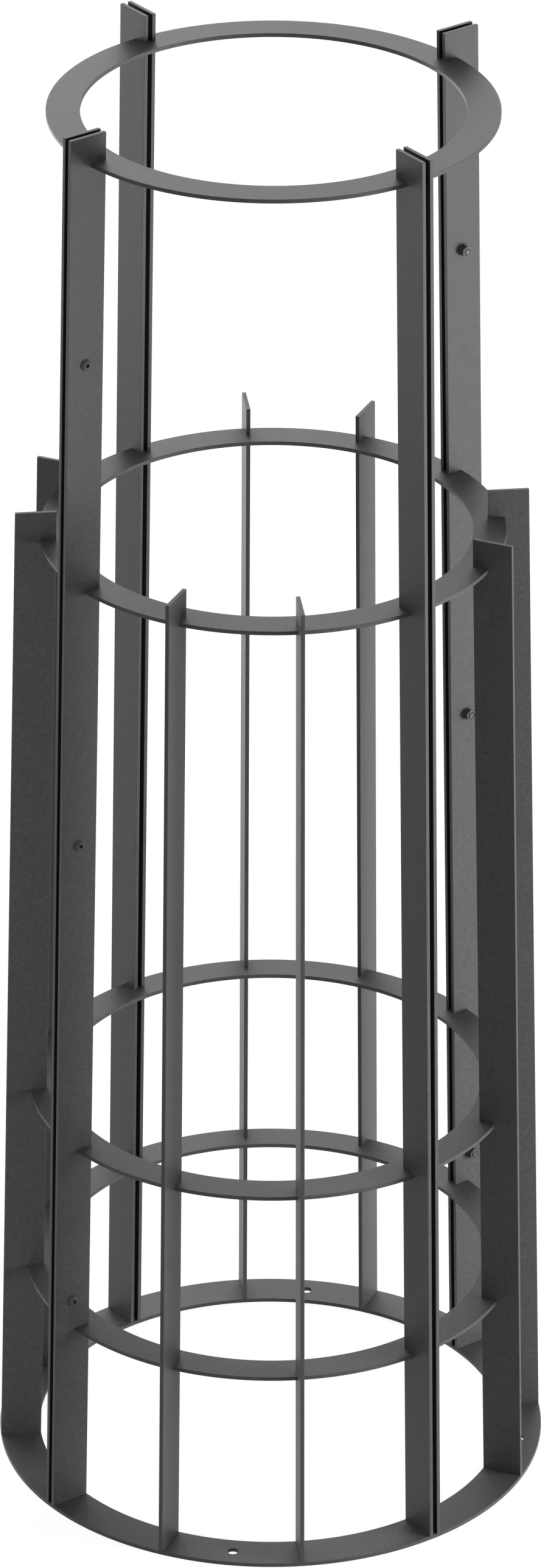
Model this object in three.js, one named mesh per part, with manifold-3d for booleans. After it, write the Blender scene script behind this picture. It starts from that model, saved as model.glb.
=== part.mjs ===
// Tree guard of leaning flat steel bars, in two halves that screw together round a trunk.
// Millimetres, +Z up. The origin is on the ground at the middle of the guard.
// Twelve places stand evenly round it: every third one is a post of two tall bars, the others
// hold one short bar. The halves meet in the middle of two opposite posts.
import * as THREE from 'three';
import { mergeVertices } from 'three/addons/utils/BufferGeometryUtils.js';
import Module from 'manifold-3d';

const wasm = await Module();
wasm.setup();

// Whole guard
const guardHeight = 1830;
const baseRingRadius = 316;
const topHoopRadius = 246;

// Flat steel
const barWidth = 50;
const barThickness = 5;
const hoopWidth = 40;
const hoopThickness = 5;
const baseRingWidth = 50;
const baseRingThickness = 5;

// Heights of the hoops' upper faces, and what the bars stand out above the last hoop they cross
const lowerHoopHeight = 250;
const kneeHoopHeight = 500;
const chestHoopHeight = 1252;
const barOverHoop = 35;

// Gap between the two bars of a post
const postGap = 6;

// Holes for ground anchors, in the middle of the base ring
const anchorHoleRadius = 6.5;

// Screws that hold the halves together
const screwRadius = 4;
const screwHoleRadius = 4.5;
const screwTipChamfer = 0.8;
const screwStandOut = 0.6;
const lowScrewOverLowerHoop = 40;
const highScrewUnderTopHoop = 251;
const headRadius = 7;
const headHeight = 4.4;
const headRimHeight = 0.6;
const headFlatRadius = 3.8;
const socketAcrossFlats = 5;
const socketDepth = 2.8;

// Nuts, washers and the spacers between the two bars of a post
const nutAcrossFlats = 13;
const nutHeight = 6.8;
const washerRadius = 8;
const washerThickness = 1.6;
const washerBoreRadius = 4.2;
const spacerRadius = 8;
const spacerBoreRadius = 4.4;

// Clearance where pieces meet, and how far a cut runs past what it cuts
const fitGap = 0.3;
const cutOverrun = 1;

// Counts and angles
const placesInHalf = 6;
const placesPerPost = 3;
const screwsInPost = 3;
const halfTurn = Math.PI;
const placeAngle = halfTurn / placesInHalf;
const anchorAngles = [placeAngle * 1.5, placeAngle * 4.5];
const ringFacetAngle = THREE.MathUtils.degToRad(3.75);
const nutChamferAngle = THREE.MathUtils.degToRad(30);
const roundFacets = 24;
const hexagonSides = 6;
const domeSteps = 5;

// Finishes
const powderCoat = { color: 0x5b5c5d, roughness: 0.62, metalness: 0.15 };
const coatedFastener = { color: 0x545556, roughness: 0.55, metalness: 0.3 };
const bareSteel = { color: 0x8a8c8e, roughness: 0.45, metalness: 0.8 };

// Sizes that follow from the ones above
const topHoopHeight = guardHeight - barOverHoop;
const shortBarTop = chestHoopHeight + barOverHoop;
const barFoot = baseRingThickness + fitGap;
const barFootRadius = baseRingRadius - barWidth / 2;
const leanSlope = (barFootRadius - topHoopRadius) / (topHoopHeight - baseRingThickness);
const barDepth = barWidth * Math.hypot(1, leanSlope);
const barFaceOffset = postGap / 2 + barThickness;
const screwSeat = barFaceOffset + fitGap;
const washerSeat = -barFaceOffset - fitGap;
const nutSeat = washerSeat - washerThickness - fitGap;
const screwLength = screwSeat - (nutSeat - nutHeight) + screwStandOut;
const nutBoreRadius = screwRadius + fitGap;
const spacerLength = postGap - fitGap * 2;
const lowScrewHeight = lowerHoopHeight + lowScrewOverLowerHoop;
const highScrewHeight = topHoopHeight - highScrewUnderTopHoop;
const screwPitch = (highScrewHeight - lowScrewHeight) / (screwsInPost - 1);
const screwHeights = Array.from(
  { length: screwsInPost },
  (_, index) => lowScrewHeight + index * screwPitch,
);

// Radius of the bars' inner edge at a height: the bars lean in towards the top.
function innerEdgeRadius(height) {
  return barFootRadius - leanSlope * (height - baseRingThickness);
}

function barMiddleRadius(height) {
  return innerEdgeRadius(height) + barDepth / 2;
}

// Where the bars of a half stand: the place's angle, and the bar's two faces measured square to it.
function barPlaces(tallOnly) {
  const bars = [];
  for (let place = 0; place <= placesInHalf; place += 1) {
    const angle = place * placeAngle;
    if (place % placesPerPost !== 0) {
      if (!tallOnly) {
        bars.push({ place, angle, tall: false, from: -barThickness / 2, to: barThickness / 2 });
      }
      continue;
    }
    if (place > 0) {
      bars.push({ place, angle, tall: true, from: -barFaceOffset, to: -postGap / 2 });
    }
    if (place < placesInHalf) {
      bars.push({ place, angle, tall: true, from: postGap / 2, to: barFaceOffset });
    }
  }
  return bars;
}

// A point given along and square to the radius at an angle.
function turnedPoint(along, square, angle) {
  return new THREE.Vector2(along, square).rotateAround(new THREE.Vector2(), angle);
}

function addArc(points, radius, fromAngle, toAngle) {
  const steps = Math.max(1, Math.ceil(Math.abs(toAngle - fromAngle) / ringFacetAngle));
  for (let step = 0; step <= steps; step += 1) {
    const angle = fromAngle + ((toAngle - fromAngle) * step) / steps;
    points.push(turnedPoint(radius, 0, angle));
  }
}

// Flat half ring, with a slot open to its outer edge for each bar that crosses it.
function halfRingShape(innerRadius, outerRadius, slots = [], slotFloorRadius = innerRadius) {
  const outerEnd = Math.asin(fitGap / 2 / outerRadius);
  const innerEnd = Math.asin(fitGap / 2 / innerRadius);
  const points = [];
  let angle = outerEnd;
  for (const slot of slots) {
    const from = slot.from - fitGap;
    const to = slot.to + fitGap;
    addArc(points, outerRadius, angle, slot.angle + Math.asin(from / outerRadius));
    points.push(turnedPoint(slotFloorRadius, from, slot.angle));
    points.push(turnedPoint(slotFloorRadius, to, slot.angle));
    angle = slot.angle + Math.asin(to / outerRadius);
  }
  addArc(points, outerRadius, angle, halfTurn - outerEnd);
  addArc(points, innerRadius, halfTurn - innerEnd, innerEnd);
  return new THREE.Shape(points);
}

function roundHole(x, y, radius) {
  return new THREE.Path().absarc(x, y, radius, 0, halfTurn * 2);
}

function extruded(shape, depth) {
  return new THREE.ExtrudeGeometry(shape, {
    depth,
    bevelEnabled: false,
    curveSegments: roundFacets / 2,
  });
}

function hoopGeometry(height) {
  const radius = innerEdgeRadius(height);
  const slots = barPlaces(height > shortBarTop);
  const shape = halfRingShape(
    radius - hoopWidth / 2,
    radius + hoopWidth / 2,
    slots,
    radius - fitGap,
  );
  return extruded(shape, hoopThickness);
}

function baseRingGeometry() {
  const shape = halfRingShape(
    baseRingRadius - baseRingWidth / 2,
    baseRingRadius + baseRingWidth / 2,
  );
  shape.holes = anchorAngles.map((angle) => {
    const centre = turnedPoint(baseRingRadius, 0, angle);
    return roundHole(centre.x, centre.y, anchorHoleRadius);
  });
  return extruded(shape, baseRingThickness);
}

// A bar seen square to its side face: it leans in, and its foot and top are cut level.
function barGeometry(topHeight, holeHeights) {
  const footRadius = innerEdgeRadius(barFoot);
  const topRadius = innerEdgeRadius(topHeight);
  const shape = new THREE.Shape([
    new THREE.Vector2(footRadius, barFoot),
    new THREE.Vector2(footRadius + barDepth, barFoot),
    new THREE.Vector2(topRadius + barDepth, topHeight),
    new THREE.Vector2(topRadius, topHeight),
  ]);
  shape.holes = holeHeights.map((height) => (
    roundHole(barMiddleRadius(height), height, screwHoleRadius)
  ));
  return extruded(shape, barThickness);
}

function lathed(profile) {
  return new THREE.LatheGeometry(profile.map(([x, y]) => new THREE.Vector2(x, y)), roundFacets);
}

// A closed geometry as a solid that can be cut: its points are merged, and what falls flat goes.
function solidOf(geometry) {
  const bare = geometry.clone();
  bare.deleteAttribute('normal');
  bare.deleteAttribute('uv');
  const merged = mergeVertices(bare);
  const corners = merged.index.array;
  const kept = [];
  for (let index = 0; index < corners.length; index += 3) {
    const [a, b, c] = corners.slice(index, index + 3);
    if (a !== b && b !== c && c !== a) {
      kept.push(a, b, c);
    }
  }
  return new wasm.Manifold(new wasm.Mesh({
    numProp: 3,
    vertProperties: new Float32Array(merged.attributes.position.array),
    triVerts: new Uint32Array(kept),
  }));
}

function geometryOf(solid) {
  const mesh = solid.getMesh();
  const geometry = new THREE.BufferGeometry();
  geometry.setAttribute('position', new THREE.BufferAttribute(mesh.vertProperties, 3));
  geometry.setIndex(new THREE.BufferAttribute(mesh.triVerts, 1));
  geometry.computeVertexNormals();
  return geometry;
}

// Upright prism or cylinder along Y, from one level to another.
function prismBetween(radius, sides, low, high) {
  const geometry = new THREE.CylinderGeometry(radius, radius, high - low, sides);
  return geometry.translate(0, (low + high) / 2, 0);
}

function hexagonCorner(acrossFlats) {
  return acrossFlats / Math.sqrt(3);
}

// Button head screw along Y: the head's seat is at zero, and a hexagon socket is sunk in its top.
function screwGeometry() {
  const domeCentre = (headRadius ** 2 + headRimHeight ** 2 - headFlatRadius ** 2 - headHeight ** 2)
    / (2 * (headRimHeight - headHeight));
  const domeRadius = Math.hypot(headRadius, headRimHeight - domeCentre);
  const rimAngle = Math.acos(headRadius / domeRadius);
  const flatAngle = Math.acos(headFlatRadius / domeRadius);
  const profile = [
    [0, -screwLength],
    [screwRadius - screwTipChamfer, -screwLength],
    [screwRadius, screwTipChamfer - screwLength],
    [screwRadius, 0],
    [headRadius, 0],
  ];
  for (let step = 0; step <= domeSteps; step += 1) {
    const angle = rimAngle + ((flatAngle - rimAngle) * step) / domeSteps;
    profile.push([domeRadius * Math.cos(angle), domeCentre + domeRadius * Math.sin(angle)]);
  }
  profile.push([0, headHeight]);
  const socket = prismBetween(
    hexagonCorner(socketAcrossFlats),
    hexagonSides,
    headHeight - socketDepth,
    headHeight + cutOverrun,
  );
  return geometryOf(solidOf(lathed(profile)).subtract(solidOf(socket)));
}

// Hexagon nut along Y from zero down, its corners chamfered on both faces, with a plain bore.
function nutGeometry() {
  const corner = hexagonCorner(nutAcrossFlats);
  const flat = nutAcrossFlats / 2;
  const chamfer = (corner - flat) * Math.tan(nutChamferAngle);
  const turned = lathed([
    [0, -nutHeight],
    [flat, -nutHeight],
    [corner, chamfer - nutHeight],
    [corner, -chamfer],
    [flat, 0],
    [0, 0],
  ]);
  const hexagon = prismBetween(corner, hexagonSides, -nutHeight - cutOverrun, cutOverrun);
  const bore = prismBetween(nutBoreRadius, roundFacets, -nutHeight - cutOverrun, cutOverrun);
  return geometryOf(solidOf(turned).intersect(solidOf(hexagon)).subtract(solidOf(bore)));
}

// Flat round ring along Y, from one level to another.
function sleeveGeometry(boreRadius, outerRadius, low, high) {
  return lathed([
    [boreRadius, low],
    [outerRadius, low],
    [outerRadius, high],
    [boreRadius, high],
    [boreRadius, low],
  ]);
}

function addPiece(group, name, geometry, finish) {
  const piece = new THREE.Mesh(geometry, new THREE.MeshStandardMaterial(finish));
  piece.name = name;
  group.add(piece);
  return piece;
}

// Hoops, from the ground up
const hoops = [
  { name: 'lower', height: lowerHoopHeight },
  { name: 'knee', height: kneeHoopHeight },
  { name: 'chest', height: chestHoopHeight },
  { name: 'top', height: topHoopHeight },
];
for (const hoop of hoops) {
  hoop.geometry = hoopGeometry(hoop.height);
}

// The halves: their first post, where their screws are, then their own post and their last post
const halves = [
  { name: 'right', startAngle: halfTurn * 1.25, posts: ['front_left', 'front_right', 'back_right'] },
  { name: 'left', startAngle: halfTurn * 0.25, posts: ['back_right', 'back_left', 'front_left'] },
];
const baseRing = baseRingGeometry();
const plainTallBar = barGeometry(guardHeight, []);
const drilledTallBar = barGeometry(guardHeight, screwHeights);
const shortBar = barGeometry(shortBarTop, []);
const screw = screwGeometry();
const nut = nutGeometry();
const washer = sleeveGeometry(washerBoreRadius, washerRadius, -washerThickness, 0);
const spacer = sleeveGeometry(spacerBoreRadius, spacerRadius, -spacerLength / 2, spacerLength / 2);
const screwLevels = ['low', 'middle', 'high'];

function addRings(half, group) {
  addPiece(group, `${half.name}_base_half_ring`, baseRing, powderCoat);
  for (const hoop of hoops) {
    const piece = addPiece(group, `${half.name}_${hoop.name}_half_hoop`, hoop.geometry, powderCoat);
    piece.position.z = hoop.height - hoopThickness;
  }
}

function barName(half, bar) {
  if (!bar.tall) {
    const angle = THREE.MathUtils.radToDeg(half.startAngle + bar.angle);
    return `short_bar_at_${Math.round(angle) % 360}_degrees`;
  }
  const post = half.posts[bar.place / placesPerPost];
  if (bar.place % placesInHalf === 0) {
    return `${post}_tall_bar_of_${half.name}_half`;
  }
  return `${post}_tall_bar_${bar.from < 0 ? 'first' : 'second'}`;
}

function addBars(half, group) {
  for (const bar of barPlaces(false)) {
    const place = new THREE.Group();
    place.rotation.z = bar.angle;
    const tall = bar.place % placesInHalf === 0 ? drilledTallBar : plainTallBar;
    const piece = addPiece(place, barName(half, bar), bar.tall ? tall : shortBar, powderCoat);
    piece.rotation.x = halfTurn / 2;
    piece.position.y = bar.to;
    group.add(place);
  }
}

function addFasteners(half, group) {
  screwHeights.forEach((height, index) => {
    const name = `${half.posts[0]}_${screwLevels[index]}`;
    const pieces = [
      [addPiece(group, `${name}_screw`, screw, coatedFastener), screwSeat],
      [addPiece(group, `${name}_spacer`, spacer, bareSteel), 0],
      [addPiece(group, `${name}_washer`, washer, coatedFastener), washerSeat],
      [addPiece(group, `${name}_nut`, nut, coatedFastener), nutSeat],
    ];
    for (const [piece, seat] of pieces) {
      piece.position.set(barMiddleRadius(height), seat, height);
    }
  });
}

const guard = new THREE.Group();
for (const half of halves) {
  const group = new THREE.Group();
  group.rotation.z = half.startAngle;
  addRings(half, group);
  addBars(half, group);
  addFasteners(half, group);
  guard.add(group);
}

export default guard;
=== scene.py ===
"""Tree guard in dark grey powder coat: its looks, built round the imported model. Metres, +Z up."""
import math

import bmesh
import bpy
from mathutils import Matrix, Vector


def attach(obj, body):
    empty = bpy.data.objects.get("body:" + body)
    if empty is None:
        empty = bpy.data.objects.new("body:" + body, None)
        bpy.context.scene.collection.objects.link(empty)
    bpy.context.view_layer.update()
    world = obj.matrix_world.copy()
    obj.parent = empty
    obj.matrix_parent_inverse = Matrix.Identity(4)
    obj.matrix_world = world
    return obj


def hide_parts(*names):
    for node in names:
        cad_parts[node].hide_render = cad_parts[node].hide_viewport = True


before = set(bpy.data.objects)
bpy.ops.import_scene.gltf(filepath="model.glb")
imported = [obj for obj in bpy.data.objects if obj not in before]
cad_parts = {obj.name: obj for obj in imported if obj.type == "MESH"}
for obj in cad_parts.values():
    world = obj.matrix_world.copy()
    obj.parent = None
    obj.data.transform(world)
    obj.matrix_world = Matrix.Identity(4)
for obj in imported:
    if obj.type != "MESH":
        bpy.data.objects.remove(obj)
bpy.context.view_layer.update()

# Whole guard
GUARD_HEIGHT = 1.830
BASE_RING_RADIUS = 0.316
TOP_HOOP_RADIUS = 0.246

# Flat steel
BAR_WIDTH = 0.050
BAR_THICKNESS = 0.005
HOOP_WIDTH = 0.040
HOOP_THICKNESS = 0.005
BASE_RING_WIDTH = 0.050
BASE_RING_THICKNESS = 0.005
POST_GAP = 0.006
ANCHOR_HOLE_RADIUS = 0.0065
BAR_OVER_HOOP = 0.035
HOOP_HEIGHTS = {"lower": 0.250, "knee": 0.500, "chest": 1.252, "top": GUARD_HEIGHT - BAR_OVER_HOOP}
SHORT_BAR_TOP = HOOP_HEIGHTS["chest"] + BAR_OVER_HOOP

# Screws, nuts, washers and spacers
SCREW_RADIUS = 0.004
SCREW_HOLE_RADIUS = 0.0045
SCREW_LENGTH = 0.025
THREAD_PITCH = 0.00125
THREAD_DEPTH = 0.00068
THREAD_FLAT_SHARE = 1 / 8
THREAD_RUN_IN_PITCHES = 2
SCREW_TIP_CHAMFER = 0.0008
HEAD_RADIUS = 0.007
HEAD_HEIGHT = 0.0044
HEAD_RIM_HEIGHT = 0.0006
HEAD_FLAT_RADIUS = 0.0038
SOCKET_ACROSS = 0.005
SOCKET_DEPTH = 0.0028
NUT_ACROSS = 0.013
NUT_HEIGHT = 0.0068
NUT_FACE_SHARE = 0.97
NUT_CHAMFER_ANGLE = math.radians(30)
WASHER_RADIUS = 0.008
WASHER_THICKNESS = 0.0016
SPACER_RADIUS = 0.008
LOW_SCREW_OVER_LOWER_HOOP = 0.040
HIGH_SCREW_UNDER_TOP_HOOP = 0.251

# Clearances: in the CAD between pieces, here where the halves butt and where a bar fills its slot
SEAT_GAP = 0.0003
HALF_JOINT = 0.0001
SLOT_GAP = 0.00002
CUT_OVERRUN = 0.001

# Rounding of the coated arrises, and how finely round things are turned
ARRIS = 0.0004
SMALL_ARRIS = 0.00025
ARRIS_SEGMENTS = 4
RING_STEPS = 180
HOLE_STEPS = 48
TURNED_STEPS = 64
THREAD_STEPS = 32
DOME_STEPS = 12
MERGE_DISTANCE = 0.0000001
THREAD_MERGE_DISTANCE = 0.000001
SHARP_ANGLE = math.radians(35)
SOCKET_FLARE_ANGLE = math.radians(60)

# What follows from the sizes above
BAR_FOOT_RADIUS = BASE_RING_RADIUS - BAR_WIDTH / 2
LEAN = (BAR_FOOT_RADIUS - TOP_HOOP_RADIUS) / (HOOP_HEIGHTS["top"] - BASE_RING_THICKNESS)
BAR_DEPTH = BAR_WIDTH * math.hypot(1, LEAN)
FACE_OFFSET = POST_GAP / 2 + BAR_THICKNESS
LOW_SCREW = HOOP_HEIGHTS["lower"] + LOW_SCREW_OVER_LOWER_HOOP
HIGH_SCREW = HOOP_HEIGHTS["top"] - HIGH_SCREW_UNDER_TOP_HOOP
SCREW_HEIGHTS = {"low": LOW_SCREW, "middle": (LOW_SCREW + HIGH_SCREW) / 2, "high": HIGH_SCREW}
PLACES_IN_HALF = 6
PLACES_PER_POST = 3
PLACE_ANGLE = math.pi / PLACES_IN_HALF
ANCHOR_PLACES = (PLACES_PER_POST / 2, PLACES_IN_HALF - PLACES_PER_POST / 2)
HALVES = {
    "right": (math.radians(225), ("front_left", "front_right", "back_right")),
    "left": (math.radians(45), ("back_right", "back_left", "front_left")),
}

# The photograph's view: where the camera stands, where it looks and its lens
CAMERA_PLACE = Vector((1.3603, -9.2283, 5.7684))
CAMERA_HEADING = math.radians(8.397)
CAMERA_TILT = math.radians(62.468)
CAMERA_ROLL = math.radians(0.125)
CAMERA_LENS = 199.01
CAMERA_SENSOR_WIDTH = 36
CAMERA_NEAR = 0.1
CAMERA_FAR = 100

# Powder coat: its darkest and lightest grey, roughness, height of its relief, and sheen
POWDER_COAT = (0.055, 0.153, 0.50, 0.00012, 0.3)
FASTENER_COAT = (0.060, 0.130, 0.45, 0.00004, 0.4)
COAT_CLOUD_SCALE = 14.0
COAT_MOTTLE_SCALE = 220.0
COAT_PEEL_SCALE = 800.0
COAT_GRAIN_SCALE = 2600.0
COAT_CLOUD_SHARE = 0.1
COAT_MOTTLE_SHARE = 0.75
COAT_GRAIN_SHARE = 0.15
COAT_PEEL_SHARE = 0.6
COAT_ROUGHNESS_SPREAD = 0.12

# Painted shade in the posts' gaps, and zinc: darkest and lightest grey, roughness and how much it rises,
# scale of the clouds
PAINTED_GAP_SHADE_GREYS = (0.012, 0.026)
PAINTED_GAP_SHADE_ROUGHNESS = 0.6
PAINTED_GAP_SHADE_ROUGHNESS_SPREAD = 0.2
PAINTED_GAP_SHADE_SHEEN = 0.15
PAINTED_GAP_SHADE_CLOUD_SCALE = 60.0
ZINC_GREYS = (0.30, 0.42)
ZINC_ROUGHNESS = 0.3
ZINC_ROUGHNESS_SPREAD = 0.2
ZINC_CLOUD_SCALE = 320.0


def make_camera():
    data = bpy.data.cameras.new("photo_camera")
    data.lens = CAMERA_LENS
    data.sensor_width = CAMERA_SENSOR_WIDTH
    data.clip_start = CAMERA_NEAR
    data.clip_end = CAMERA_FAR
    camera = bpy.data.objects.new("photo_camera", data)
    turn = Matrix.Rotation(CAMERA_HEADING, 4, "Z") @ Matrix.Rotation(CAMERA_TILT, 4, "X")
    camera.matrix_world = (
        Matrix.Translation(CAMERA_PLACE) @ turn @ Matrix.Rotation(CAMERA_ROLL, 4, "Z")
    )
    bpy.context.collection.objects.link(camera)
    bpy.context.scene.camera = camera


class Wire:
    """A node's output socket, so that shader maths can be written as an expression."""

    def __init__(self, graph, socket):
        self.graph = graph
        self.socket = socket

    def maths(self, operation, first, second):
        return self.graph.node("ShaderNodeMath", {"operation": operation}, {0: first, 1: second})

    def __add__(self, other):
        return self.maths("ADD", self, other)

    def __radd__(self, other):
        return self.maths("ADD", other, self)

    def __mul__(self, other):
        return self.maths("MULTIPLY", self, other)

    def __rmul__(self, other):
        return self.maths("MULTIPLY", other, self)


class Graph:
    """A material's or the world's nodes."""

    def __init__(self, tree):
        self.tree = tree
        tree.nodes.clear()

    def node(self, kind, settings, values, output=0):
        node = self.tree.nodes.new(kind)
        for name, value in settings.items():
            setattr(node, name, value)
        for name, value in values.items():
            socket = node.inputs[name]
            if isinstance(value, Wire):
                self.tree.links.new(value.socket, socket)
            else:
                socket.default_value = value
        return Wire(self, node.outputs[output])

    def end(self, kind, shader):
        node = self.tree.nodes.new(kind)
        self.tree.links.new(shader.socket, node.inputs["Surface"])

    def noise(self, place, scale, detail=2.0, roughness=0.5):
        values = {"Vector": place, "Scale": scale, "Detail": detail, "Roughness": roughness}
        return self.node("ShaderNodeTexNoise", {}, values, "Fac")

    def blend(self, factor, first, second):
        settings = {"data_type": "RGBA", "clamp_factor": True}
        return self.node("ShaderNodeMix", settings, {0: factor, 6: first, 7: second}, 2)


def grey(level):
    return (level, level, level, 1.0)


def coated_steel(name, dark, light, roughness, relief, sheen):
    """Powder coat: a soft mottle in the colour, an even orange peel, and a finer sandy grain."""
    material = bpy.data.materials.new(name)
    material.use_nodes = True
    graph = Graph(material.node_tree)
    place = graph.node("ShaderNodeTexCoord", {}, {}, "Object")
    clouds = graph.noise(place, COAT_CLOUD_SCALE)
    mottle = graph.noise(place, COAT_MOTTLE_SCALE)
    peel = graph.noise(place, COAT_PEEL_SCALE, detail=1.0, roughness=0.4)
    grain = graph.noise(place, COAT_GRAIN_SCALE, roughness=0.6)
    shade = mottle * COAT_MOTTLE_SHARE + grain * COAT_GRAIN_SHARE + clouds * COAT_CLOUD_SHARE
    height = peel * COAT_PEEL_SHARE + grain
    normal = graph.node(
        "ShaderNodeBump",
        {},
        {"Strength": 1.0, "Distance": relief, "Height": height},
        "Normal",
    )
    shader = graph.node(
        "ShaderNodeBsdfPrincipled",
        {},
        {
            "Base Color": graph.blend(shade, grey(dark), grey(light)),
            "Roughness": roughness - COAT_ROUGHNESS_SPREAD / 2 + mottle * COAT_ROUGHNESS_SPREAD,
            "Specular IOR Level": sheen,
            "Normal": normal,
        },
    )
    graph.end("ShaderNodeOutputMaterial", shader)
    return material


def painted_gap_shade():
    """Painted shade: a near-black finish on the faces inside a post's gap, standing in for the shade
    there.
    """
    material = bpy.data.materials.new("painted_gap_shade")
    material.use_nodes = True
    graph = Graph(material.node_tree)
    place = graph.node("ShaderNodeTexCoord", {}, {}, "Object")
    clouds = graph.noise(place, PAINTED_GAP_SHADE_CLOUD_SCALE, detail=4.0)
    shader = graph.node(
        "ShaderNodeBsdfPrincipled",
        {},
        {
            "Base Color": graph.blend(clouds, *map(grey, PAINTED_GAP_SHADE_GREYS)),
            "Roughness": PAINTED_GAP_SHADE_ROUGHNESS + clouds * PAINTED_GAP_SHADE_ROUGHNESS_SPREAD,
            "Specular IOR Level": PAINTED_GAP_SHADE_SHEEN,
        },
    )
    graph.end("ShaderNodeOutputMaterial", shader)
    return material


def plated_steel():
    """Zinc plated steel, faintly clouded."""
    material = bpy.data.materials.new("zinc_plated_steel")
    material.use_nodes = True
    graph = Graph(material.node_tree)
    place = graph.node("ShaderNodeTexCoord", {}, {}, "Object")
    clouds = graph.noise(place, ZINC_CLOUD_SCALE, detail=3.0)
    shader = graph.node(
        "ShaderNodeBsdfPrincipled",
        {},
        {
            "Base Color": graph.blend(clouds, *map(grey, ZINC_GREYS)),
            "Roughness": ZINC_ROUGHNESS + clouds * ZINC_ROUGHNESS_SPREAD,
            "Metallic": 1.0,
        },
    )
    graph.end("ShaderNodeOutputMaterial", shader)
    return material


def object_of(name, bm):
    mesh = bpy.data.meshes.new(name)
    bm.to_mesh(mesh)
    bm.free()
    piece = bpy.data.objects.new(name, mesh)
    bpy.context.collection.objects.link(piece)
    return piece


def baked(piece):
    """The piece's mesh as its modifiers leave it."""
    graph = bpy.context.evaluated_depsgraph_get()
    mesh = bpy.data.meshes.new_from_object(piece.evaluated_get(graph))
    piece.modifiers.clear()
    old = piece.data
    piece.data = mesh
    bpy.data.meshes.remove(old)


def combine(piece, tool, operation):
    """Cuts, joins or trims a piece with another solid, which is used up."""
    modifier = piece.modifiers.new("cut", "BOOLEAN")
    modifier.object = tool
    modifier.operation = operation
    modifier.solver = "EXACT"
    baked(piece)
    mesh = tool.data
    bpy.data.objects.remove(tool)
    bpy.data.meshes.remove(mesh)


def round_edges(bm, edges, radius):
    bmesh.ops.bevel(
        bm,
        geom=edges,
        offset=radius,
        offset_type="OFFSET",
        segments=ARRIS_SEGMENTS,
        profile=0.5,
        affect="EDGES",
        material=-1,
        clamp_overlap=True,
    )


def joined_points(bm, points, closed=False):
    """A chain of edges through the points."""
    corners = [bm.verts.new(point) for point in points]
    ends = corners[1:] + corners[:1] if closed else corners[1:]
    return corners + [bm.edges.new(pair) for pair in zip(corners, ends)]


def turned(name, profile, steps=TURNED_STEPS):
    """A solid turned round Z from a profile of radius and height, which closes or ends on the axis."""
    bm = bmesh.new()
    chain = joined_points(bm, [(radius, 0, height) for radius, height in profile])
    bmesh.ops.spin(
        bm, geom=chain, cent=(0, 0, 0), axis=(0, 0, 1), angle=2 * math.pi, steps=steps, use_merge=True
    )
    bmesh.ops.remove_doubles(bm, verts=bm.verts, dist=MERGE_DISTANCE)
    bmesh.ops.recalc_face_normals(bm, faces=bm.faces)
    return object_of(name, bm)


def prism(name, radius, sides, low, high):
    bm = bmesh.new()
    bmesh.ops.create_cone(
        bm,
        cap_ends=True,
        segments=sides,
        radius1=radius,
        radius2=radius,
        depth=high - low,
        matrix=Matrix.Translation((0, 0, (low + high) / 2)),
    )
    return object_of(name, bm)


def inner_edge(height):
    """Radius of the bars' inner edge at a height."""
    return BAR_FOOT_RADIUS - LEAN * (height - BASE_RING_THICKNESS)


def bar_middle(height):
    return inner_edge(height) + BAR_DEPTH / 2


def bar_places(tall_only):
    """The bars of a half, in turn: place, angle, whether tall, and the two faces' offsets."""
    for place in range(PLACES_IN_HALF + 1):
        angle = place * PLACE_ANGLE
        if place % PLACES_PER_POST:
            if not tall_only:
                yield place, angle, False, (-BAR_THICKNESS / 2, BAR_THICKNESS / 2)
            continue
        if place > 0:
            yield place, angle, True, (-FACE_OFFSET, -POST_GAP / 2)
        if place < PLACES_IN_HALF:
            yield place, angle, True, (POST_GAP / 2, FACE_OFFSET)


def leaning_block(bm, low, high, faces, extra=0.0):
    """A bar's stretch between two levels, or what clears it by a little extra all round."""
    block = bmesh.ops.create_cube(bm, size=1.0)["verts"]
    middle = (low + high) / 2
    size = (BAR_DEPTH + 2 * extra, faces[1] - faces[0] + 2 * extra, high - low)
    bmesh.ops.scale(bm, vec=size, verts=block)
    shear = Matrix(((1, 0, -LEAN, 0), (0, 1, 0, 0), (0, 0, 1, 0), (0, 0, 0, 1)))
    bmesh.ops.transform(bm, matrix=shear, verts=block)
    place = (bar_middle(middle), (faces[0] + faces[1]) / 2, middle)
    bmesh.ops.translate(bm, vec=place, verts=block)
    return block


def hole_tool(height):
    """What a screw hole takes out of a bar: a cylinder square to the bar's side faces."""
    reach = FACE_OFFSET + CUT_OVERRUN
    tool = prism("screw_hole", SCREW_HOLE_RADIUS, HOLE_STEPS, -reach, reach)
    lay = Matrix.Translation((bar_middle(height), 0, height)) @ Matrix.Rotation(math.pi / 2, 4, "X")
    tool.data.transform(lay)
    return tool


def make_bar(name, top, faces, drilled):
    """A flat bar on edge, in its place's own frame: level cut foot and top, rounded arrises."""
    bm = bmesh.new()
    foot = BASE_RING_THICKNESS
    leaning_block(bm, foot, top, faces)
    edges = [
        edge for edge in bm.edges
        if max(corner.co.z for corner in edge.verts) > foot + CUT_OVERRUN
    ]
    round_edges(bm, edges, ARRIS)
    bar = object_of(name, bm)
    if drilled:
        for height in SCREW_HEIGHTS.values():
            combine(bar, hole_tool(height), "DIFFERENCE")
    return bar


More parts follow.
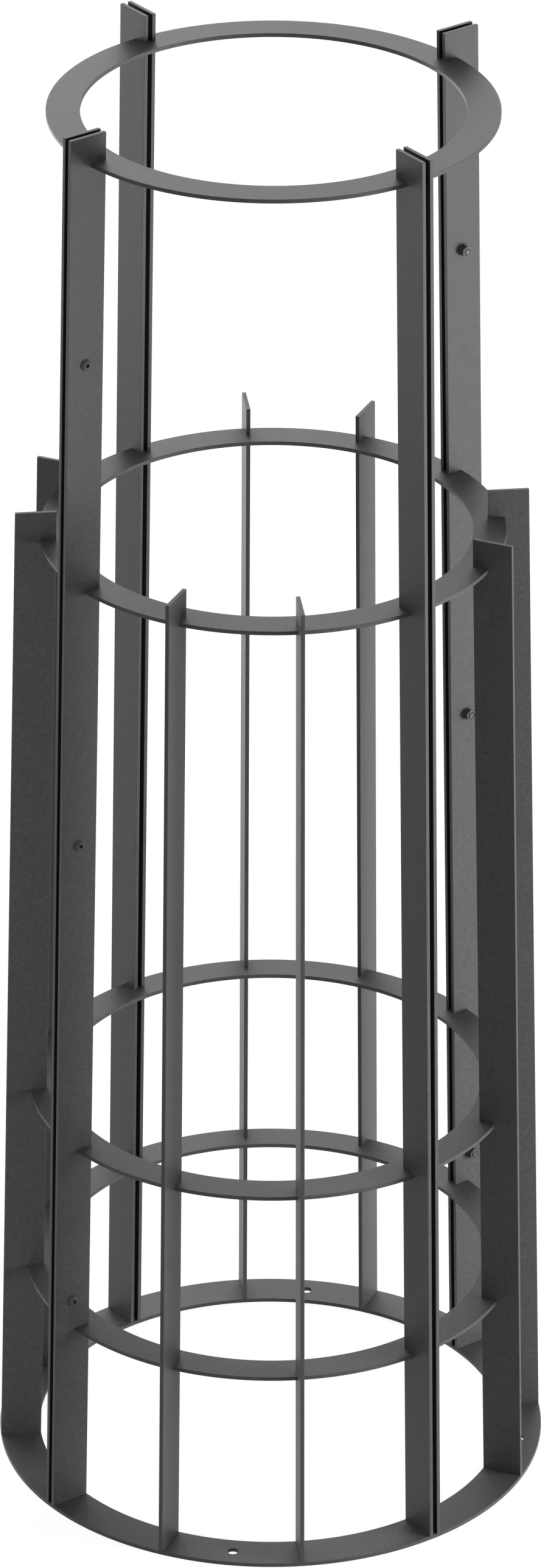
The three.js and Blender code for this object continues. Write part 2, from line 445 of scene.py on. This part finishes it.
def half_ring(name, inner, outer, thickness):
    """A flat half ring from just past angle 0 to just short of a half turn. Only its ends stay sharp."""
    bm = bmesh.new()
    section = joined_points(
        bm,
        [(inner, 0, 0), (outer, 0, 0), (outer, 0, thickness), (inner, 0, thickness)],
        closed=True,
    )
    gap_angle = math.asin(HALF_JOINT / 2 / ((inner + outer) / 2))
    bmesh.ops.rotate(bm, matrix=Matrix.Rotation(gap_angle, 3, "Z"), verts=bm.verts)
    bmesh.ops.spin(
        bm,
        geom=section,
        cent=(0, 0, 0),
        axis=(0, 0, 1),
        angle=math.pi - 2 * gap_angle,
        steps=RING_STEPS // 2,
    )
    end_edges = {edge for edge in bm.edges if edge.is_boundary}
    bmesh.ops.holes_fill(bm, edges=list(end_edges), sides=4)
    bmesh.ops.recalc_face_normals(bm, faces=bm.faces)
    arrises = [
        edge for edge in bm.edges
        if edge not in end_edges and edge.calc_face_angle(0) > SHARP_ANGLE
    ]
    round_edges(bm, arrises, ARRIS)
    return object_of(name, bm)


def slots_tool(height, tall_only):
    """What the slots for the bars take out of a half hoop."""
    bm = bmesh.new()
    low = height - HOOP_THICKNESS - CUT_OVERRUN
    for _, angle, _, faces in bar_places(tall_only):
        block = leaning_block(bm, low, height + CUT_OVERRUN, faces, SLOT_GAP)
        bmesh.ops.rotate(bm, matrix=Matrix.Rotation(angle, 3, "Z"), verts=block)
    return object_of("slots", bm)


def make_half_hoop(name, height):
    radius = inner_edge(height)
    hoop = half_ring(name, radius - HOOP_WIDTH / 2, radius + HOOP_WIDTH / 2, HOOP_THICKNESS)
    hoop.data.transform(Matrix.Translation((0, 0, height - HOOP_THICKNESS)))
    combine(hoop, slots_tool(height, height > SHORT_BAR_TOP), "DIFFERENCE")
    return hoop


def make_base_half_ring(name):
    inner = BASE_RING_RADIUS - BASE_RING_WIDTH / 2
    ring = half_ring(name, inner, inner + BASE_RING_WIDTH, BASE_RING_THICKNESS)
    flare = ANCHOR_HOLE_RADIUS + ARRIS
    for place in ANCHOR_PLACES:
        profile = [
            (0, -CUT_OVERRUN),
            (flare, -CUT_OVERRUN),
            (flare, 0),
            (ANCHOR_HOLE_RADIUS, ARRIS),
            (ANCHOR_HOLE_RADIUS, BASE_RING_THICKNESS - ARRIS),
            (flare, BASE_RING_THICKNESS),
            (flare, BASE_RING_THICKNESS + CUT_OVERRUN),
            (0, BASE_RING_THICKNESS + CUT_OVERRUN),
        ]
        tool = turned("anchor_hole", profile, HOLE_STEPS)
        centre = Vector((BASE_RING_RADIUS, 0, 0))
        centre.rotate(Matrix.Rotation(place * PLACE_ANGLE, 3, "Z"))
        tool.data.transform(Matrix.Translation(centre))
        combine(ring, tool, "DIFFERENCE")
    return ring


def make_thread(name, low, high):
    """A threaded rod: one pitch of the thread's profile wound up, then cut off square."""
    bm = bmesh.new()
    root = SCREW_RADIUS - THREAD_DEPTH
    start = low - THREAD_RUN_IN_PITCHES * THREAD_PITCH
    turns = math.ceil((high - start) / THREAD_PITCH) + 1
    shares = (
        (root, 0),
        (root, THREAD_FLAT_SHARE),
        (SCREW_RADIUS, (1 - THREAD_FLAT_SHARE) / 2),
        (SCREW_RADIUS, (1 + THREAD_FLAT_SHARE) / 2),
        (root, 1),
    )
    chain = joined_points(bm, [(radius, 0, start + share * THREAD_PITCH) for radius, share in shares])
    bmesh.ops.spin(
        bm,
        geom=chain,
        cent=(0, 0, 0),
        axis=(0, 0, 1),
        dvec=(0, 0, THREAD_PITCH / THREAD_STEPS),
        angle=2 * math.pi * turns,
        steps=THREAD_STEPS * turns,
    )
    bmesh.ops.remove_doubles(bm, verts=bm.verts, dist=THREAD_MERGE_DISTANCE)
    for level, up in ((low, False), (high, True)):
        everything = bm.verts[:] + bm.edges[:] + bm.faces[:]
        bmesh.ops.bisect_plane(
            bm,
            geom=everything,
            plane_co=(0, 0, level),
            plane_no=(0, 0, 1),
            clear_outer=up,
            clear_inner=not up,
        )
    bmesh.ops.holes_fill(bm, edges=[edge for edge in bm.edges if edge.is_boundary], sides=0)
    bmesh.ops.recalc_face_normals(bm, faces=bm.faces)
    return object_of(name, bm)


def make_screw(name):
    """Button head socket screw along Z, seated at zero with its head up."""
    top_gap = HEAD_RIM_HEIGHT - HEAD_HEIGHT
    squares = HEAD_RADIUS**2 + HEAD_RIM_HEIGHT**2 - HEAD_FLAT_RADIUS**2 - HEAD_HEIGHT**2
    centre = squares / (2 * top_gap)
    radius = math.hypot(HEAD_RADIUS, HEAD_RIM_HEIGHT - centre)
    rim = math.acos(HEAD_RADIUS / radius)
    flat = math.acos(HEAD_FLAT_RADIUS / radius)
    neck = SCREW_RADIUS - THREAD_DEPTH
    neck_end = -THREAD_RUN_IN_PITCHES * THREAD_PITCH
    profile = [(0, neck_end), (neck, neck_end), (neck, 0)]
    profile += [(HEAD_RADIUS - SMALL_ARRIS, 0), (HEAD_RADIUS, SMALL_ARRIS)]
    for step in range(DOME_STEPS + 1):
        angle = rim + (flat - rim) * step / DOME_STEPS
        profile.append((radius * math.cos(angle), centre + radius * math.sin(angle)))
    profile.append((0, HEAD_HEIGHT))
    screw = turned(name, profile)
    thread = make_thread("thread", -SCREW_LENGTH, -THREAD_PITCH)
    tip = SCREW_RADIUS - SCREW_TIP_CHAMFER
    end = turned(
        "thread_end",
        [
            (0, -SCREW_LENGTH - CUT_OVERRUN),
            (tip - CUT_OVERRUN, -SCREW_LENGTH - CUT_OVERRUN),
            (SCREW_RADIUS + CUT_OVERRUN, CUT_OVERRUN + SCREW_TIP_CHAMFER - SCREW_LENGTH),
            (SCREW_RADIUS + CUT_OVERRUN, 0),
            (0, 0),
        ],
    )
    combine(thread, end, "INTERSECT")
    combine(screw, thread, "UNION")
    socket_corner = SOCKET_ACROSS / math.sqrt(3)
    socket = prism("socket", socket_corner, 6, HEAD_HEIGHT - SOCKET_DEPTH, HEAD_HEIGHT + CUT_OVERRUN)
    combine(screw, socket, "DIFFERENCE")
    flare_radius = socket_corner + SMALL_ARRIS
    flare = turned(
        "socket_flare",
        [
            (0, HEAD_HEIGHT - flare_radius / math.tan(SOCKET_FLARE_ANGLE)),
            (flare_radius, HEAD_HEIGHT),
            (flare_radius, HEAD_HEIGHT + CUT_OVERRUN),
            (0, HEAD_HEIGHT + CUT_OVERRUN),
        ],
    )
    combine(screw, flare, "DIFFERENCE")
    return screw


def make_nut(name):
    """Hexagon nut along Z from zero down, chamfered on both faces, its bore flared."""
    corner = NUT_ACROSS / math.sqrt(3)
    flat = NUT_ACROSS / 2
    face = flat * NUT_FACE_SHARE
    chamfer = (corner - flat) * math.tan(NUT_CHAMFER_ANGLE)
    nut = prism(name, corner, 6, -NUT_HEIGHT - CUT_OVERRUN, CUT_OVERRUN)
    envelope = turned(
        "nut_chamfers",
        [
            (0, -NUT_HEIGHT),
            (face, -NUT_HEIGHT),
            (corner, chamfer - NUT_HEIGHT),
            (corner, -chamfer),
            (face, 0),
            (0, 0),
        ],
    )
    combine(nut, envelope, "INTERSECT")
    bore = SCREW_RADIUS + SEAT_GAP / 2
    flare = THREAD_DEPTH
    bore_tool = turned(
        "nut_bore",
        [
            (0, -NUT_HEIGHT - CUT_OVERRUN),
            (bore + flare + CUT_OVERRUN, -NUT_HEIGHT - CUT_OVERRUN),
            (bore, flare - NUT_HEIGHT),
            (bore, -flare),
            (bore + flare + CUT_OVERRUN, CUT_OVERRUN),
            (0, CUT_OVERRUN),
        ],
    )
    combine(nut, bore_tool, "DIFFERENCE")
    return nut


def make_sleeve(name, bore, outer, low, high):
    """A washer or spacer along Z with rounded rims."""
    bm = bmesh.new()
    section = joined_points(
        bm, [(bore, 0, low), (outer, 0, low), (outer, 0, high), (bore, 0, high)], closed=True
    )
    bmesh.ops.spin(
        bm,
        geom=section,
        cent=(0, 0, 0),
        axis=(0, 0, 1),
        angle=2 * math.pi,
        steps=TURNED_STEPS,
        use_merge=True,
    )
    bmesh.ops.recalc_face_normals(bm, faces=bm.faces)
    rims = [edge for edge in bm.edges if edge.calc_face_angle(0) > SHARP_ANGLE]
    round_edges(bm, rims, SMALL_ARRIS)
    return object_of(name, bm)


def finish_piece(piece, node, finishes, place, gap_side=None):
    """Puts a piece in its place and gives it its finish: it stands for its CAD node.

    A flat face at the gap side, an offset in the piece's own frame, gets the second finish, which is
    painted shade.
    """
    piece.data.materials.clear()
    for finish in finishes:
        piece.data.materials.append(finish)
    if gap_side is not None:
        for face in piece.data.polygons:
            face.material_index = int(abs(face.center.y - gap_side) < SLOT_GAP)
    piece.data.transform(place)
    piece.data.shade_smooth()
    piece.data.set_sharp_from_angle(angle=SHARP_ANGLE)
    normals = piece.modifiers.new("flat_faces_stay_flat", "WEIGHTED_NORMAL")
    normals.keep_sharp = True
    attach(piece, "root")
    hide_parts(node)


def bar_name(half, posts, start, place, angle, tall, faces):
    if not tall:
        return f"short_bar_at_{round(math.degrees(start + angle)) % 360}_degrees"
    post = posts[place // PLACES_PER_POST]
    if place % PLACES_IN_HALF == 0:
        return f"{post}_tall_bar_of_{half}_half"
    return f"{post}_tall_bar_{'first' if faces[0] < 0 else 'second'}"


def make_fasteners(half, posts, start, coat, zinc):
    """The three screws of a half's first post, each with its spacer, washer and nut."""
    seats = {
        "screw": FACE_OFFSET,
        "spacer": 0.0,
        "washer": -FACE_OFFSET,
        "nut": -FACE_OFFSET - WASHER_THICKNESS,
    }
    for level, height in SCREW_HEIGHTS.items():
        for kind, seat in seats.items():
            node = f"{posts[0]}_{level}_{kind}"
            name = f"{node}_piece"
            if kind == "screw":
                piece = make_screw(name)
            elif kind == "nut":
                piece = make_nut(name)
            elif kind == "washer":
                piece = make_sleeve(name, SCREW_HOLE_RADIUS, WASHER_RADIUS, -WASHER_THICKNESS, 0)
            else:
                length = POST_GAP - SLOT_GAP
                piece = make_sleeve(name, SCREW_HOLE_RADIUS, SPACER_RADIUS, -length / 2, length / 2)
            place = (
                Matrix.Rotation(start, 4, "Z")
                @ Matrix.Translation((bar_middle(height), seat, height))
                @ Matrix.Rotation(-math.pi / 2, 4, "X")
            )
            material, slot = (zinc, "bare_spacer") if kind == "spacer" else (coat, "coated_fastener")
            finish_piece(piece, node, [material], place)


def make_guard():
    coat = coated_steel("grey_powder_coat", *POWDER_COAT)
    fastener_coat = coated_steel("coated_fastener", *FASTENER_COAT)
    # Painted shade: a near-black finish for the faces inside the posts' gaps
    scale = painted_gap_shade()
    zinc = plated_steel()
    for half, (start, posts) in HALVES.items():
        turn = Matrix.Rotation(start, 4, "Z")
        node = f"{half}_base_half_ring"
        finish_piece(make_base_half_ring(f"{node}_piece"), node, [coat], turn)
        for hoop, height in HOOP_HEIGHTS.items():
            node = f"{half}_{hoop}_half_hoop"
            piece = make_half_hoop(f"{node}_piece", height)
            finish_piece(piece, node, [coat], turn)
        for place, angle, tall, faces in bar_places(False):
            node = bar_name(half, posts, start, place, angle, tall, faces)
            top = GUARD_HEIGHT if tall else SHORT_BAR_TOP
            piece = make_bar(f"{node}_piece", top, faces, tall and place % PLACES_IN_HALF == 0)
            at_place = Matrix.Rotation(start + angle, 4, "Z")
            # A tall bar's face inside its post's gap gets the painted shade
            gap_side = min(faces, key=abs) if tall else None
            finishes = [coat, scale] if tall else [coat]
            finish_piece(piece, node, finishes, at_place, gap_side)
        make_fasteners(half, posts, start, fastener_coat, zinc)


# Lamps: compass angle and height angle they shine from, how far off, how wide, and their power
AIM = Vector((0, 0, 0.9))
LAMPS = {
    "back": (112, 25, 5.0, 2.5, 64),
    "right": (352, -2, 3.0, 1.5, 73),
    "back_right": (82, 25, 5.0, 2.5, 45),
    "left": (142, -2, 3.0, 1.5, 34),
}
WORLD_LEVEL = 0.21
FLOOR_RADIUS = 14.0
FLOOR_STEPS = 96
FLOOR_TONE = 0.6
SEEN_FLOOR_TONE = 0.2
SEEN_FLOOR_GLOW = 0.93


def make_lamps():
    for name, (azimuth, elevation, distance, width, power) in LAMPS.items():
        data = bpy.data.lights.new(name, "AREA")
        data.shape = "DISK"
        data.size = width
        data.energy = power
        lamp = bpy.data.objects.new(name, data)
        a, e = math.radians(azimuth), math.radians(elevation)
        back = Vector((math.cos(a) * math.cos(e), math.sin(a) * math.cos(e), math.sin(e)))
        turn = (-back).to_track_quat("-Z", "Y").to_matrix().to_4x4()
        lamp.matrix_world = Matrix.Translation(AIM + back * distance) @ turn
        lamp.visible_camera = False
        bpy.context.collection.objects.link(lamp)


def seen_background(graph):
    """One where a ray from the camera, or one that gloss or glass sends on, looks at what is behind."""
    path = graph.node("ShaderNodeLightPath", {}, {}, "Is Camera Ray")
    outputs = path.socket.node.outputs
    glossy = Wire(graph, outputs["Is Glossy Ray"])
    through = Wire(graph, outputs["Is Transmission Ray"])
    return path.maths("MAXIMUM", path, path.maths("MAXIMUM", glossy, through))


def make_world():
    world = bpy.data.worlds.new("studio")
    world.use_nodes = True
    graph = Graph(world.node_tree)
    light = graph.node("ShaderNodeBackground", {}, {"Color": grey(1.0), "Strength": WORLD_LEVEL})
    white = graph.node("ShaderNodeBackground", {}, {"Color": grey(1.0), "Strength": 1.0})
    both = graph.node("ShaderNodeMixShader", {}, {0: seen_background(graph), 1: light, 2: white})
    graph.end("ShaderNodeOutputWorld", both)
    bpy.context.scene.world = world


def make_floor():
    """Pale floor. The camera sees it lit up to just over white, and it keeps the guard's shadow."""
    bm = bmesh.new()
    bmesh.ops.create_circle(bm, cap_ends=True, radius=FLOOR_RADIUS, segments=FLOOR_STEPS)
    floor = object_of("floor", bm)
    material = bpy.data.materials.new("pale_floor")
    material.use_nodes = True
    graph = Graph(material.node_tree)
    paint = graph.node("ShaderNodeBsdfDiffuse", {}, {"Color": grey(FLOOR_TONE)})
    seen_paint = graph.node("ShaderNodeBsdfDiffuse", {}, {"Color": grey(SEEN_FLOOR_TONE)})
    glow = graph.node("ShaderNodeEmission", {}, {"Color": grey(1.0), "Strength": SEEN_FLOOR_GLOW})
    seen = graph.node("ShaderNodeAddShader", {}, {0: seen_paint, 1: glow})
    both = graph.node("ShaderNodeMixShader", {}, {0: seen_background(graph), 1: paint, 2: seen})
    graph.end("ShaderNodeOutputMaterial", both)
    floor.data.materials.append(material)


make_camera()
make_guard()
make_floor()
make_lamps()
make_world()
bpy.context.scene.view_settings.view_transform = "Standard"
